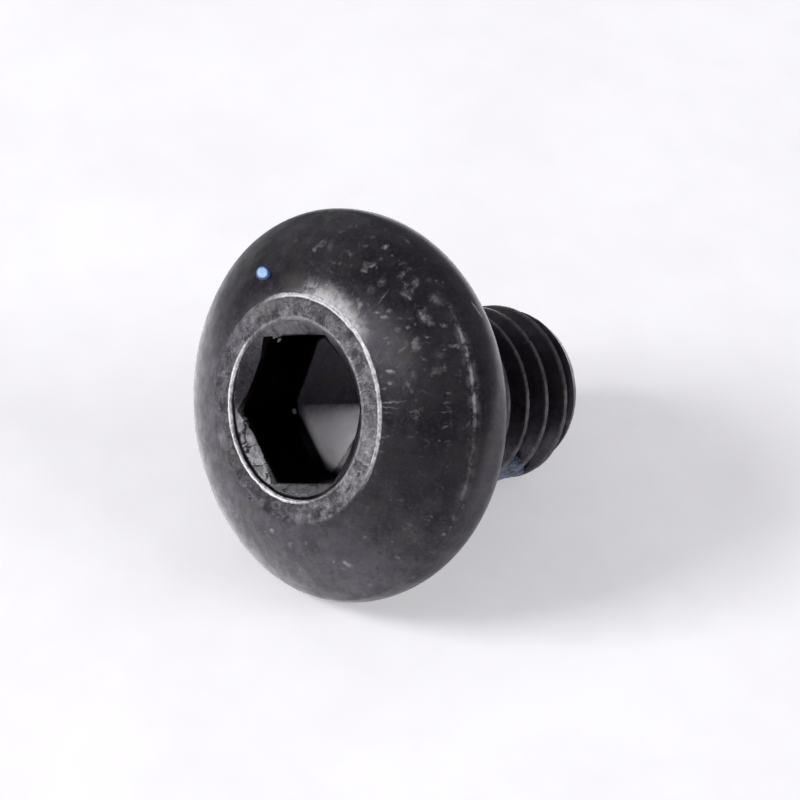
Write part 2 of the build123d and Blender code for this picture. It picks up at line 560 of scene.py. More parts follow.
DROP_H, _nr, _nh = dome_point(DROP_R)
DROP_N = (_nr * math.cos(math.radians(DROP_DEG)), _nr * math.sin(math.radians(DROP_DEG)), _nh)
_th = math.radians(DROP_DEG)
_lean = CAM_POS - (CENTRE + DROP_H * AX + DROP_R * (math.cos(_th) * UP + math.sin(_th) * WX))
_lean = _lean / np.linalg.norm(_lean)
DROP_LEAN = (float(_lean @ UP), float(_lean @ WX), float(_lean @ AX))
drop = bpy.data.objects.new("threadlocker_drop", drop_mesh(DROP_R, DROP_DEG, 0.40, 0.09))
bpy.context.scene.collection.objects.link(drop)


# ------------------------------------------------------------------ materials
class Tree:
    """Small helpers to build a node tree."""

    def __init__(self, mat):
        mat.use_nodes = True
        self.t = mat.node_tree
        self.t.nodes.clear()

    def node(self, kind, **props):
        n = self.t.nodes.new(kind)
        for k, v in props.items():
            setattr(n, k, v)
        return n

    def link(self, a, b):
        self.t.links.new(a, b)

    def math(self, op, a, b=None, c=None, clamp=False):
        n = self.node("ShaderNodeMath", operation=op, use_clamp=clamp)
        for k, v in enumerate((a, b, c)):
            if v is None:
                continue
            if isinstance(v, (int, float)):
                n.inputs[k].default_value = v
            else:
                self.link(v, n.inputs[k])
        return n.outputs[0]

    def vec(self, op, a, b=None):
        n = self.node("ShaderNodeVectorMath", operation=op)
        for k, v in enumerate((a, b)):
            if v is None:
                continue
            if isinstance(v, (tuple, list, np.ndarray)):
                n.inputs[k].default_value = tuple(float(x) for x in v)
            else:
                self.link(v, n.inputs[k])
        return n.outputs["Value"] if op in ("DOT_PRODUCT", "LENGTH", "DISTANCE") else n.outputs["Vector"]

    def ramp(self, x, lo, hi, to_lo=0.0, to_hi=1.0, smoothstep=True):
        n = self.node("ShaderNodeMapRange", interpolation_type="SMOOTHSTEP" if smoothstep else "LINEAR", clamp=True)
        self.link(x, n.inputs["Value"])
        for name, v in (("From Min", lo), ("From Max", hi), ("To Min", to_lo), ("To Max", to_hi)):
            n.inputs[name].default_value = v
        return n.outputs[0]

    def noise(self, vector, scale, detail=3.0, rough=0.55, distortion=0.0, dims="3D"):
        n = self.node("ShaderNodeTexNoise", noise_dimensions=dims)
        self.link(vector, n.inputs["Vector"])
        n.inputs["Scale"].default_value = scale
        n.inputs["Detail"].default_value = detail
        n.inputs["Roughness"].default_value = rough
        n.inputs["Distortion"].default_value = distortion
        return n.outputs["Fac"]

    def scaled(self, value, amount):
        """A small vector along x made from a number."""
        c = self.node("ShaderNodeCombineXYZ")
        self.link(self.math("MULTIPLY", value, amount), c.inputs[0])
        return c.outputs[0]

    def warp(self, vector, scale, amount, detail=2.0):
        """The vector pushed about by noise, up to about half of amount."""
        n = self.node("ShaderNodeTexNoise", noise_dimensions="3D")
        self.link(vector, n.inputs["Vector"])
        n.inputs["Scale"].default_value = scale
        n.inputs["Detail"].default_value = detail
        c = self.vec("SUBTRACT", n.outputs["Color"], (0.5, 0.5, 0.5))
        m = self.vec("MULTIPLY", c, (amount, amount, amount))
        return self.vec("ADD", vector, m)

    def mixc(self, fac, a, b):
        n = self.node("ShaderNodeMix", data_type="RGBA", blend_type="MIX")
        if isinstance(fac, (int, float)):
            n.inputs[0].default_value = fac
        else:
            self.link(fac, n.inputs[0])
        for k, v in ((6, a), (7, b)):
            if isinstance(v, tuple):
                n.inputs[k].default_value = (*v, 1.0)
            else:
                self.link(v, n.inputs[k])
        return n.outputs[2]


def axis_coords(T):
    """Radius, height and angle about the screw's axis, in millimetres and radians."""
    tc = T.node("ShaderNodeTexCoord")
    p = T.vec("SUBTRACT", tc.outputs["Object"], CENTRE * MM)
    sc = T.node("ShaderNodeVectorMath", operation="SCALE")
    T.link(p, sc.inputs[0])
    sc.inputs["Scale"].default_value = 1000.0
    p = sc.outputs["Vector"]
    hh = T.vec("DOT_PRODUCT", p, AX)
    x = T.vec("DOT_PRODUCT", p, UP)
    y = T.vec("DOT_PRODUCT", p, WX)
    rr = T.math("SQRT", T.math("ADD", T.math("MULTIPLY", x, x), T.math("MULTIPLY", y, y)))
    an = T.math("ARCTAN2", y, x)
    cmb = T.node("ShaderNodeCombineXYZ")
    T.link(x, cmb.inputs[0]); T.link(y, cmb.inputs[1]); T.link(hh, cmb.inputs[2])
    return rr, hh, an, x, y, cmb.outputs[0]


def near_angle(T, an, mid_deg, half_deg, soft_deg):
    """1 within half_deg of mid_deg about the axis, falling to 0 over soft_deg."""
    c = T.math("COSINE", T.math("SUBTRACT", an, math.radians(mid_deg)))
    return T.ramp(c, math.cos(math.radians(min(half_deg + soft_deg, 179.0))), math.cos(math.radians(half_deg)))


def point_on_head(radius, theta_deg):
    """A point on the dome or the land, in the material's own millimetres."""
    hgt = HEAD_H if radius < LAND_OUT else DY + math.sqrt(DR**2 - (radius - DX) ** 2)
    t = math.radians(theta_deg)
    return (radius * math.cos(t), radius * math.sin(t), hgt)


# scuffs and specks on the head: position square to the axis (along UP, along WX),
# half length, half width, turn in degrees, strength
MARKS = (
    (5.02, -0.1, 0.095, 0.059, 90, 1.0), (4.35, -0.14, 0.107, 0.066, 116, 1.0),
    (4.56, -0.24, 0.091, 0.065, 153, 0.8), (4.78, -0.29, 0.06, 0.038, 98, 0.4),
    (4.79, 0.4, 0.082, 0.047, 88, 0.4), (3.99, 1.73, 0.099, 0.058, 94, 0.7),
    (4.68, 1.4, 0.093, 0.053, 116, 0.35), (5.03, 0.44, 0.087, 0.059, 106, 0.35),
    (4.15, 0.65, 0.072, 0.041, 108, 0.35), (4.07, 0.83, 0.065, 0.035, 109, 0.3),
    (4.72, -1.55, 0.154, 0.07, 46, 0.75), (4.39, -1.59, 0.175, 0.101, 82, 0.55),
    (4.38, -1.72, 0.085, 0.042, -99, 0.9), (4.59, -2.28, 0.233, 0.111, -101, 0.5),
    (4.62, -2.18, 0.074, 0.049, 75, 0.6), (4.13, -2.37, 0.224, 0.113, -107, 0.75),
    (4.08, -2.57, 0.158, 0.069, -96, 0.65), (4.19, -2.23, 0.097, 0.051, 46, 0.75),
    (4.56, -2.66, 0.081, 0.035, -113, 0.4), (4.15, -2.88, 0.081, 0.055, 110, 0.75),
    (3.75, -2.76, 0.079, 0.033, 102, 0.8), (3.81, -3.41, 0.13, 0.053, 106, 0.95),
    (3.66, -3.3, 0.055, 0.046, 51, 0.5), (2.58, -2.48, 0.131, 0.057, 111, 1.0),
    (3.68, -1.51, 0.105, 0.045, 115, 0.85), (3.7, -1.26, 0.095, 0.042, 114, 0.55),
    (3.88, -1.53, 0.072, 0.059, 129, 0.55), (3.84, -1.88, 0.098, 0.04, 117, 0.4),
    (3.99, -2.12, 0.078, 0.031, 111, 0.4), (3.6, -2.02, 0.09, 0.061, 125, 0.4),
    (3.76, -2.22, 0.068, 0.051, 88, 0.6), (2.79, -3.06, 0.107, 0.076, 37, 0.35),
    (2.32, -2.64, 0.08, 0.046, 119, 0.55), (2.11, -2.57, 0.07, 0.044, 119, 0.45),
    (4.36, -0.81, 0.126, 0.116, 92, 0.45), (4.09, -0.68, 0.155, 0.108, 70, 0.22),
    (4.08, -1.13, 0.211, 0.029, 180, 0.45), (4.89, -1.74, 0.088, 0.056, 74, 0.28),
    (4.91, -1.94, 0.058, 0.03, 67, 0.3), (4.95, -0.88, 0.118, 0.034, 117, 0.28),
    (3.15, -3.42, 0.118, 0.08, 100, 0.3), (3.49, -3.29, 0.125, 0.092, 99, 0.3),
    (3.25, -3.04, 0.124, 0.035, 89, 0.3), (2.7, -3.99, 0.087, 0.034, 116, 0.5),
    (2.48, -4.09, 0.091, 0.037, 121, 0.5), (2.25, -4.16, 0.08, 0.031, 119, 0.4),
    (1.9, -4.36, 0.088, 0.039, 124, 0.55), (1.56, -4.53, 0.08, 0.037, 118, 0.45),
    (1.89, -2.91, 0.415, 0.024, 122, 0.6), (1.74, -2.92, 0.334, 0.022, 113, 0.45),
    (1.54, -2.87, 0.204, 0.021, 122, 0.35), (0.94, -3.12, 0.177, 0.021, 117, 0.35),
    (0.53, -3.2, 0.174, 0.023, 113, 0.4), (1.3, -3.77, 0.1, 0.031, 119, 0.35),
    (-3.47, -0.57, 0.113, 0.068, 139, 0.65), (-3.48, -1.28, 0.103, 0.05, 130, 0.45),
    (-3.08, -3.09, 0.143, 0.091, -90, 0.75), (-3.23, -2.71, 0.079, 0.041, 141, 0.45),
    (-3.13, -1.82, 0.083, 0.043, 133, 0.25), (-1.96, -3.5, 0.076, 0.039, 127, 0.3),
    (-2.16, -4.32, 0.079, 0.045, 130, 0.3), (-0.99, -5.15, 0.063, 0.035, -5, 0.4),
    (-0.71, -4.82, 0.049, 0.04, 153, 0.3), (-0.45, -4.12, 0.079, 0.031, 119, 0.25),
    (-3.47, -3.64, 0.082, 0.04, 140, 0.25), (-4.17, -1.59, 0.1, 0.045, 140, 0.25),
    (4.64, 2.76, 0.086, 0.012, 117, 0.2), (4.91, 1.29, 0.086, 0.038, 101, 0.25),
    (3.79, 2.61, 0.106, 0.053, 91, 0.25), (4.26, 1.57, 0.101, 0.061, 44, 0.25),
    (5.35, -0.18, 0.093, 0.02, 101, 0.22), (1.29, 2.71, 0.088, 0.053, 122, 0.3),
    (0.24, 2.8, 0.079, 0.057, 127, 0.3), (-0.4, 2.82, 0.077, 0.056, 123, 0.3),
    (-2.7, 2.22, 0.135, 0.044, 125, 0.25), (-3.92, 0.99, 0.146, 0.053, 131, 0.25),
    (-0.01, -2.95, 0.179, 0.035, 116, 0.9),
    (0.03, -2.73, 0.125, 0.033, 116, 0.8),
    (0.29, -2.78, 0.128, 0.03, 124, 0.6),
    (0.54, -2.89, 0.112, 0.03, 119, 0.6),
    (-0.33, -2.72, 0.109, 0.036, 110, 0.6),
    (-2.01, 2.08, 0.368, 0.199, 25, 0.3),
    (4.3, 1.34, 0.168, 0.099, 56, 0.3),
)


# small dents on the land: radius, angle about the axis, half length, half width
OVALS = (
    (2.74, 191.0, 0.10, 0.055), (2.74, 203.5, 0.150, 0.070), (2.77, 214.5, 0.120, 0.065),
    (2.80, 227.5, 0.170, 0.070), (2.82, 251.0, 0.130, 0.055), (2.84, 262.0, 0.080, 0.045),
)


# flecks inside the socket: place, size
FLECKS = (
    ((-1.253, 1.838, 0.906), 0.115), ((1.150, 2.004, 2.573), 0.110), ((1.012, 2.004, 2.354), 0.090),
)


def marks(T, P):
    """Every scuff in the table, with wandering outlines."""
    Q = T.warp(T.warp(P, 5.0, 0.12), 15.0, 0.070)
    total = None
    for k, (mx, my, a, b, turn, strength) in enumerate(MARKS):
        if k and k % 6 == 0:
            # each batch waits for the one before, which keeps the shader's memory small
            Q = T.vec("ADD", Q, T.scaled(total, 1e-7))
        n = T.node("ShaderNodeMapping", vector_type="TEXTURE")
        T.link(Q, n.inputs["Vector"])
        n.inputs["Location"].default_value = (mx, my, 0.0)
        n.inputs["Rotation"].default_value = (0.0, 0.0, math.radians(turn))
        n.inputs["Scale"].default_value = (a * 1.22, b * 1.22, 1000.0)
        d = T.vec("LENGTH", n.outputs["Vector"])
        v = T.math("MULTIPLY_ADD", d, -1.5 * strength, 1.5 * strength, clamp=True)
        total = v if total is None else T.math("MAXIMUM", total, v)
    return total


def steel():
    mat = bpy.data.materials.new("blackened_steel")
    T = Tree(mat)
    out = T.node("ShaderNodeOutputMaterial")
    bsdf = T.node("ShaderNodeBsdfPrincipled")
    T.link(bsdf.outputs[0], out.inputs[0])
    bsdf.inputs["Metallic"].default_value = 1.0
    rr, hh, an, x, y, P = axis_coords(T)

    cloud = T.noise(P, 0.55, 3.0, 0.55)
    mottle = T.noise(P, 1.7, 4.0, 0.6)
    grain = T.noise(P, 9.0, 4.0, 0.6)
    fine = T.noise(P, 34.0, 2.0, 0.5)
    ontop = T.ramp(hh, CREASE_H - 0.25, CREASE_H - 0.10)

    # base colour: black oxide, a little uneven, here and there brownish
    col = T.mixc(T.ramp(cloud, 0.34, 0.66), (0.029, 0.0245, 0.0325), (0.072, 0.0635, 0.080))
    col = T.mixc(T.math("MULTIPLY", T.ramp(mottle, 0.48, 0.68), 0.7), col, (0.079, 0.071, 0.086))
    col = T.mixc(T.math("MULTIPLY", T.ramp(grain, 0.50, 0.68), 0.40), col, (0.120, 0.111, 0.129))
    col = T.mixc(T.math("MULTIPLY", T.ramp(T.noise(P, 1.1, 2.0, 0.5, 0.4), 0.58, 0.70), 0.5), col, (0.070, 0.066, 0.054))

    pocks = T.math("MULTIPLY", T.ramp(T.noise(T.warp(P, 6.0, 0.10), 6.0, 3.0, 0.6), 0.60, 0.70), 0.65)
    col = T.mixc(T.math("MULTIPLY", pocks, ontop), col, (0.014, 0.012, 0.015))

    # a pale line along the crease between dome and rim, only on some stretches: partly worn metal, partly a painted
    # highlight where the crease catches the light
    rr_c = T.math("ADD", rr, T.math("MULTIPLY", T.math("SUBTRACT", T.noise(P, 2.3, 3.0, 0.6), 0.5), 0.07))
    dc = T.math("SQRT", T.math("ADD",
        T.math("POWER", T.math("SUBTRACT", rr_c, CREASE_R - 0.02), 2.0),
        T.math("POWER", T.math("SUBTRACT", hh, CREASE_H + 0.02), 2.0)))
    dc = T.math("ADD", dc, T.math("MULTIPLY", T.math("SUBTRACT", grain, 0.5), 0.09))
    broken = T.ramp(T.noise(P, 2.6, 4.0, 0.7), 0.40, 0.56)
    core = T.math("MULTIPLY", T.ramp(dc, 0.072, 0.025), T.math("ADD", T.math("MULTIPLY", broken, 0.75), 0.25))
    halo = T.math("MULTIPLY", T.ramp(dc, 0.24, 0.06), T.math("MULTIPLY", broken, 0.30))
    crease_wear_and_highlight_span = T.math("MAXIMUM", near_angle(T, an, 309, 11, 7), T.math("MULTIPLY", near_angle(T, an, 300, 25, 6), 0.42))
    crease_wear_and_highlight_span = T.math("MAXIMUM", crease_wear_and_highlight_span, T.math("MULTIPLY", near_angle(T, an, 276, 13, 8), T.math("MULTIPLY", T.ramp(T.noise(P, 1.9, 3.0, 0.6), 0.52, 0.60), 0.26)))
    crease_wear_and_highlight_span = T.math("MAXIMUM", crease_wear_and_highlight_span, T.math("MULTIPLY", near_angle(T, an, 150, 40, 30), 0.12))
    crease = T.math("MULTIPLY", T.math("MAXIMUM", core, halo), crease_wear_and_highlight_span)

    # the land: scuffed all over in blotches and short scratches, most on the right
    Pw = T.warp(P, 4.0, 0.25)
    patchy = T.noise(Pw, 1.9, 3.0, 0.6)
    left = near_angle(T, an, 95, 50, 30)
    rr_l = T.math("ADD", rr, T.math("MULTIPLY", left, T.math("MULTIPLY_ADD", patchy, 0.9, -0.22)))
    onland = T.math("MULTIPLY", T.ramp(rr, LAND_IN - 0.02, LAND_IN + 0.05), T.ramp(rr_l, LAND_OUT + 0.07, LAND_OUT - 0.05))
    onland = T.math("MULTIPLY", onland, T.ramp(hh, HEAD_H - 0.12, HEAD_H - 0.06))
    blot = T.ramp(T.noise(Pw, 2.9, 3.0, 0.6), 0.42, 0.60)
    polar = T.node("ShaderNodeCombineXYZ")
    T.link(T.math("MULTIPLY", rr, 1.6), polar.inputs[0])
    T.link(T.math("MULTIPLY", an, 9.0), polar.inputs[1])
    T.link(T.math("MULTIPLY", hh, 2.0), polar.inputs[2])
    hatch = T.ramp(T.noise(polar.outputs[0], 3.2, 3.0, 0.6), 0.48, 0.66)
    right = near_angle(T, an, 275, 45, 30)
    land = T.math("ADD", T.math("MULTIPLY", blot, 0.75), T.math("MULTIPLY", T.math("MULTIPLY", hatch, right), 0.75))
    land = T.math("MULTIPLY", onland, T.math("ADD", land, T.math("ADD", T.math("MULTIPLY", right, 0.18), T.math("MULTIPLY", near_angle(T, an, 266, 13, 12), 0.45))))
    seams = T.ramp(T.math("ABSOLUTE", T.math("SUBTRACT", T.noise(Pw, 2.6, 2.0, 0.5), 0.5)), 0.035, 0.0)
    land = T.math("MULTIPLY", land, T.math("ADD", T.math("MULTIPLY", T.ramp(grain, 0.35, 0.62), 0.35), 0.65))
    land = T.math("ADD", land, T.math("MULTIPLY", onland, T.math("ADD", T.math("MULTIPLY", seams, 0.42), 0.12)))

    dark = T.math("MULTIPLY", T.ramp(T.noise(Pw, 2.3, 4.0, 0.66), 0.47, 0.60), onland)
    land = T.math("MULTIPLY", land, T.math("MULTIPLY_ADD", dark, -0.60, 1.0))
    col = T.mixc(T.math("MULTIPLY", dark, 0.75), col, (0.020, 0.017, 0.021))

    # round dents low down, dark inside with a pale rim
    Qo = T.warp(P, 5.0, 0.13)
    pits = rims = None
    for po, pt, pa, pb in OVALS:
        n = T.node("ShaderNodeMapping", vector_type="TEXTURE")
        T.link(Qo, n.inputs["Vector"])
        n.inputs["Location"].default_value = (po * math.cos(math.radians(pt)), po * math.sin(math.radians(pt)), 0.0)
        n.inputs["Rotation"].default_value = (0.0, 0.0, math.radians(pt + 90))
        n.inputs["Scale"].default_value = (pa * 1.15, pb, 1000.0)
        d = T.vec("LENGTH", n.outputs["Vector"])
        pit, rim_ = T.ramp(d, 1.20, 0.55), T.ramp(T.math("ABSOLUTE", T.math("SUBTRACT", d, 1.50)), 0.75, 0.0)
        pits = pit if pits is None else T.math("MAXIMUM", pits, pit)
        rims = rim_ if rims is None else T.math("MAXIMUM", rims, rim_)
    pits = T.math("MULTIPLY", pits, onland)
    land = T.math("MULTIPLY", land, T.math("MULTIPLY_ADD", near_angle(T, an, 150, 45, 25), -0.45, 1.0))
    land = T.math("MAXIMUM", land, T.math("MULTIPLY", T.math("MULTIPLY", rims, onland), 0.40))
    land = T.math("MULTIPLY", land, T.math("SUBTRACT", 1.0, T.math("MULTIPLY", pits, 0.85)))

    # its inner lip is rubbed bright low on the left; its outer edge on the right is pale, partly worn metal, partly a
    # painted highlight along the ridge that catches the light
    lipd = T.math("ABSOLUTE", T.math("SUBTRACT", rr, LAND_IN + 0.03))
    lipd = T.math("ADD", lipd, T.math("MULTIPLY_ADD", T.noise(P, 3.1, 3.0, 0.6), 0.10, -0.035))
    lipm = T.math("MULTIPLY", T.ramp(lipd, 0.092, 0.045), T.ramp(hh, HEAD_H - 0.06, HEAD_H - 0.02))
    lipm = T.math("MULTIPLY", lipm, T.math("ADD", T.math("MULTIPLY", near_angle(T, an, 144, 46, 34), 0.88), 0.12))
    lipm = T.math("MULTIPLY", lipm, T.ramp(T.noise(P, 6.5, 3.0, 0.65), 0.36, 0.58, 0.40, 1.0))
    oute = T.math("ABSOLUTE", T.math("SUBTRACT", rr, LAND_OUT + 0.015))
    outer_edge_wear_and_highlight = T.math("MULTIPLY", T.ramp(T.math("MULTIPLY_ADD", T.noise(P, 4.3, 3.0, 0.6), 0.08, oute), 0.118, 0.068), T.ramp(hh, HEAD_H - 0.16, HEAD_H - 0.10))
    outer_edge_wear_and_highlight = T.math("MULTIPLY", outer_edge_wear_and_highlight, T.math("ADD", T.math("MULTIPLY", near_angle(T, an, 332, 52, 28), 1.0), 0.0))
    outer_edge_wear_and_highlight = T.math("MULTIPLY", outer_edge_wear_and_highlight, T.math("ADD", T.math("MULTIPLY", T.ramp(grain, 0.35, 0.6), 0.4), 0.6))

    # the countersunk mouth is rough, paler low on the left and a little paler beside it and at the top, with cracks
    incs = T.math("MULTIPLY", T.ramp(rr, LAND_IN + 0.01, LAND_IN - 0.03), T.ramp(hh, HEAD_H - 0.36, HEAD_H - 0.31))
    csn = T.ramp(T.noise(Pw, 4.2, 4.0, 0.7), 0.38, 0.62)
    cracks = T.ramp(T.math("ABSOLUTE", T.math("SUBTRACT", T.noise(Pw, 1.5, 2.0, 0.5), 0.5)), 0.0, 0.026)
    cracks = T.math("MAXIMUM", cracks, T.math("SUBTRACT", 1.0, near_angle(T, an, 158, 30, 12)))
    groove = T.ramp(T.math("ABSOLUTE", T.math("SUBTRACT", rr, LAND_IN - 0.065)), 0.060, 0.02)
    groove = T.math("MULTIPLY", T.math("MULTIPLY", groove, near_angle(T, an, 185, 60, 20)), T.ramp(hh, HEAD_H - 0.12, HEAD_H - 0.09))
    cs = T.math("MULTIPLY", incs, T.math("ADD", T.math("MULTIPLY", T.math("MAXIMUM", near_angle(T, an, 152, 26, 14), T.math("MAXIMUM", T.math("MULTIPLY", near_angle(T, an, 212, 26, 14), 0.30), T.math("MULTIPLY", near_angle(T, an, 22, 30, 14), 0.14))), 0.90), 0.10))
    cs = T.math("MULTIPLY", cs, T.math("MULTIPLY", T.math("ADD", T.math("MULTIPLY", csn, 0.45), 0.55), T.math("MULTIPLY", cracks, T.math("SUBTRACT", 1.0, groove))))

    # the socket's floor is bare and dull, and the facet that faces up is lightened further as painted light
    deep = T.math("MULTIPLY", T.ramp(rr, 2.2, 2.15), T.ramp(hh, 1.15, 1.0))
    deep = T.math("MULTIPLY", deep, T.ramp(hh, -0.4, -0.3))
    anw = T.math("ADD", an, T.math("MULTIPLY", T.math("SUBTRACT", mottle, 0.5), 0.10))
    bare_and_painted_lit_facet = T.math("MAXIMUM", near_angle(T, an, 100, 78.5, 3), T.math("MULTIPLY", near_angle(T, an, 100, 87, 4), T.ramp(rr, 1.2, 1.7)))
    bare_and_painted_lit_facet = T.math("MULTIPLY", near_angle(T, anw, 195, 48, 28), bare_and_painted_lit_facet)
    bare_and_painted_lit_facet = T.math("MULTIPLY", T.math("MULTIPLY", deep, bare_and_painted_lit_facet), T.ramp(rr, 2.12, 1.92))
    bare_and_painted_lit_facet = T.math("MULTIPLY", bare_and_painted_lit_facet, T.math("MULTIPLY", T.ramp(rr, 0.1, 1.1, 0.35, 1.0), T.math("MULTIPLY_ADD", mottle, 0.8, 0.6)))
    # painted shade: a mask of the socket below its mouth, used to darken its base colour
    inside = T.math("MULTIPLY", T.ramp(rr, 2.40, 2.34), T.ramp(hh, HEAD_H - 0.40, HEAD_H - 0.46))
    inside = T.math("MULTIPLY", inside, T.ramp(hh, -0.4, -0.3))

    # thread crests rubbed a little brighter
    crest = T.math("MULTIPLY", T.ramp(rr, CREST_R - 0.06, CREST_R - 0.015), T.ramp(hh, -0.5, -0.9))
    crest = T.math("MULTIPLY", crest, T.math("ADD", T.math("MULTIPLY", T.ramp(T.noise(P, 3.5, 3.0, 0.6), 0.42, 0.62), 0.6), 0.4))

    # scuffs: the table's, then small random ones, thicker on the upper right, and
    # short radial scratches on the right
    brk = T.math("ADD", T.math("MULTIPLY", T.ramp(T.noise(P, 15.0, 3.0, 0.65), 0.38, 0.60), 0.65), 0.35)
    mk = T.math("MULTIPLY", T.math("MULTIPLY", marks(T, P), ontop), brk)
    patch = T.math("MULTIPLY", near_angle(T, an, 340, 34, 24), T.ramp(rr, 3.3, 4.0))
    smudge = T.ramp(T.noise(T.warp(P, 2.5, 0.35), 2.1, 5.0, 0.68), 0.57, 0.76)
    smudge = T.math("MULTIPLY", smudge, T.math("ADD", T.math("MULTIPLY", patch, 0.60), 0.16))
    vs = T.node("ShaderNodeTexVoronoi", feature="F1")
    T.link(T.vec("ADD", P, (3.3, 1.7, 0.4)), vs.inputs["Vector"])
    vs.inputs["Scale"].default_value = 2.9
    vs.inputs["Randomness"].default_value = 1.0
    wob = T.math("MULTIPLY", T.math("SUBTRACT", T.noise(P, 8.0, 3.0, 0.7), 0.5), 0.36)
    spot = T.ramp(T.math("ADD", vs.outputs["Distance"], wob), 0.13, 0.04)
    sepc = T.node("ShaderNodeSeparateColor")
    T.link(vs.outputs["Color"], sepc.inputs[0])
    chosen = T.ramp(T.math("ADD", sepc.outputs[0], T.math("MULTIPLY", patch, 0.35)), 0.80, 1.0)
    specks = T.math("MULTIPLY", T.math("MULTIPLY", spot, chosen), 0.38)
    rays = T.ramp(T.noise(polar.outputs[0], 2.4, 4.0, 0.65), 0.60, 0.74)
    rays = T.math("MULTIPLY", rays, T.math("MULTIPLY", near_angle(T, an, 292, 34, 22), T.ramp(rr, 3.15, 3.4)))
    rays = T.math("MULTIPLY", rays, 0.30)
    # a pale patch above the ring, ragged at its edges: partly rubbed metal, partly a painted highlight where the key
    # light reflects
    rub_and_painted_highlight = T.math("MULTIPLY", near_angle(T, an, 0, 15, 12), T.ramp(T.math("MULTIPLY_ADD", mottle, 0.9, rr), 4.15, 3.75))
    rub_and_painted_highlight = T.math("MULTIPLY", T.math("MULTIPLY", rub_and_painted_highlight, T.ramp(rr, 3.10, 3.2)), T.ramp(T.noise(Pw, 4.0, 4.0, 0.68), 0.40, 0.58, 0.0, 1.0))
    scuff_and_painted_highlight = T.math("MAXIMUM", mk, T.math("MULTIPLY", T.math("MAXIMUM", T.math("MAXIMUM", smudge, specks), rays), ontop))
    scuff_and_painted_highlight = T.math("MAXIMUM", scuff_and_painted_highlight, T.math("MULTIPLY", rub_and_painted_highlight, 0.42))

    # one bright streak on the rim
    lift = T.math("ADD", T.math("SUBTRACT", hh, 0.79), T.math("MULTIPLY", T.math("SINE", T.math("SUBTRACT", an, math.radians(-32.5))), -2.28))
    ends = near_angle(T, an, 328.2, 0.8, 2.6)
    streak = T.math("ADD", T.math("ABSOLUTE", lift), T.math("MULTIPLY_ADD", ends, -0.075, 0.075))
    streak = T.math("MULTIPLY", T.ramp(streak, 0.078, 0.025), ends)
    streak = T.math("MULTIPLY", T.math("MULTIPLY", streak, T.ramp(rr, 5.0, 5.1)), T.ramp(grain, 0.35, 0.55, 0.4, 1.0))
    # wear, together with painted highlights on the crease, the outer edge and the patch above the ring, and painted
    # light on the socket's floor
    wear_and_painted_light = T.math("MAXIMUM", T.math("MULTIPLY", crease, 0.46), T.math("MULTIPLY", land, 0.20))
    wear_and_painted_light = T.math("MAXIMUM", wear_and_painted_light, T.math("MULTIPLY", lipm, 0.85))
    wear_and_painted_light = T.math("MAXIMUM", wear_and_painted_light, T.math("MAXIMUM", T.math("MULTIPLY", outer_edge_wear_and_highlight, 0.85), T.math("MULTIPLY", streak, 0.55)))
    wear_and_painted_light = T.math("MAXIMUM", wear_and_painted_light, T.math("MULTIPLY", cs, 1.0))
    wear_and_painted_light = T.math("MAXIMUM", wear_and_painted_light, T.math("MULTIPLY", crest, 0.22))
    wear_and_painted_light = T.math("MAXIMUM", wear_and_painted_light, T.math("MULTIPLY", scuff_and_painted_highlight, 0.68))
    wear_and_painted_light = T.math("MAXIMUM", wear_and_painted_light, T.math("MULTIPLY", bare_and_painted_lit_facet, 0.44))
    # flecks of swarf and a torn burr left inside the socket
    flecks = None
    Pf = T.warp(P, 14.0, 0.07)
    for (fx, fy, fh), size in FLECKS:
        away = T.ramp(T.vec("LENGTH", T.vec("SUBTRACT", Pf, (fx, fy, fh))), size, size * 0.55)
        flecks = away if flecks is None else T.math("MAXIMUM", flecks, away)
    wear_and_painted_light = T.math("MAXIMUM", wear_and_painted_light, flecks)
    # painted shade in the socket: walls nearly black, the floor less dark
    col = T.mixc(T.math("MULTIPLY", inside, T.math("MULTIPLY_ADD", deep, -0.70, 0.85)), col, (0.008, 0.006, 0.008))
    col = T.mixc(wear_and_painted_light, col, (0.60, 0.59, 0.61))
    col = T.mixc(T.math("MULTIPLY", groove, 0.65), col, (0.012, 0.010, 0.012))
    # pale lines: worn lip and streak, with painted highlights along the crease and the outer edge
    lines_wear_and_highlight = T.math("MAXIMUM", T.math("MULTIPLY", T.math("MAXIMUM", crease, streak), 0.45), T.math("MAXIMUM", lipm, outer_edge_wear_and_highlight))
    lines_wear_and_highlight = T.math("MULTIPLY", lines_wear_and_highlight, T.ramp(T.noise(P, 5.2, 4.0, 0.7), 0.36, 0.60, 0.35, 1.0))
    col = T.mixc(T.math("MULTIPLY", lines_wear_and_highlight, 0.80), col, (0.88, 0.87, 0.90))
    col = T.mixc(T.math("MULTIPLY", lipm, 0.75), col, (0.92, 0.91, 0.93))
    T.link(col, bsdf.inputs["Base Color"])
    # finely scratched metal scatters light in every direction
    matt = T.math("MAXIMUM", T.math("MULTIPLY", lines_wear_and_highlight, 0.75), T.math("MULTIPLY", T.math("MAXIMUM", scuff_and_painted_highlight, T.math("MAXIMUM", cs, land)), 0.35))
    matt = T.math("MAXIMUM", matt, flecks)
    T.link(T.math("SUBTRACT", 1.0, matt, clamp=True), bsdf.inputs["Metallic"])
    bsdf.inputs["Specular Tint"].default_value = (0.60, 0.60, 0.62, 1.0)

    rough = T.math("ADD", T.math("MULTIPLY", mottle, 0.14), 0.26)
    rough = T.math("ADD", rough, T.math("MULTIPLY", T.math("SUBTRACT", fine, 0.5), 0.08))
    rough = T.math("ADD", rough, T.math("MULTIPLY", wear_and_painted_light, 0.15))
    T.link(rough, bsdf.inputs["Roughness"])

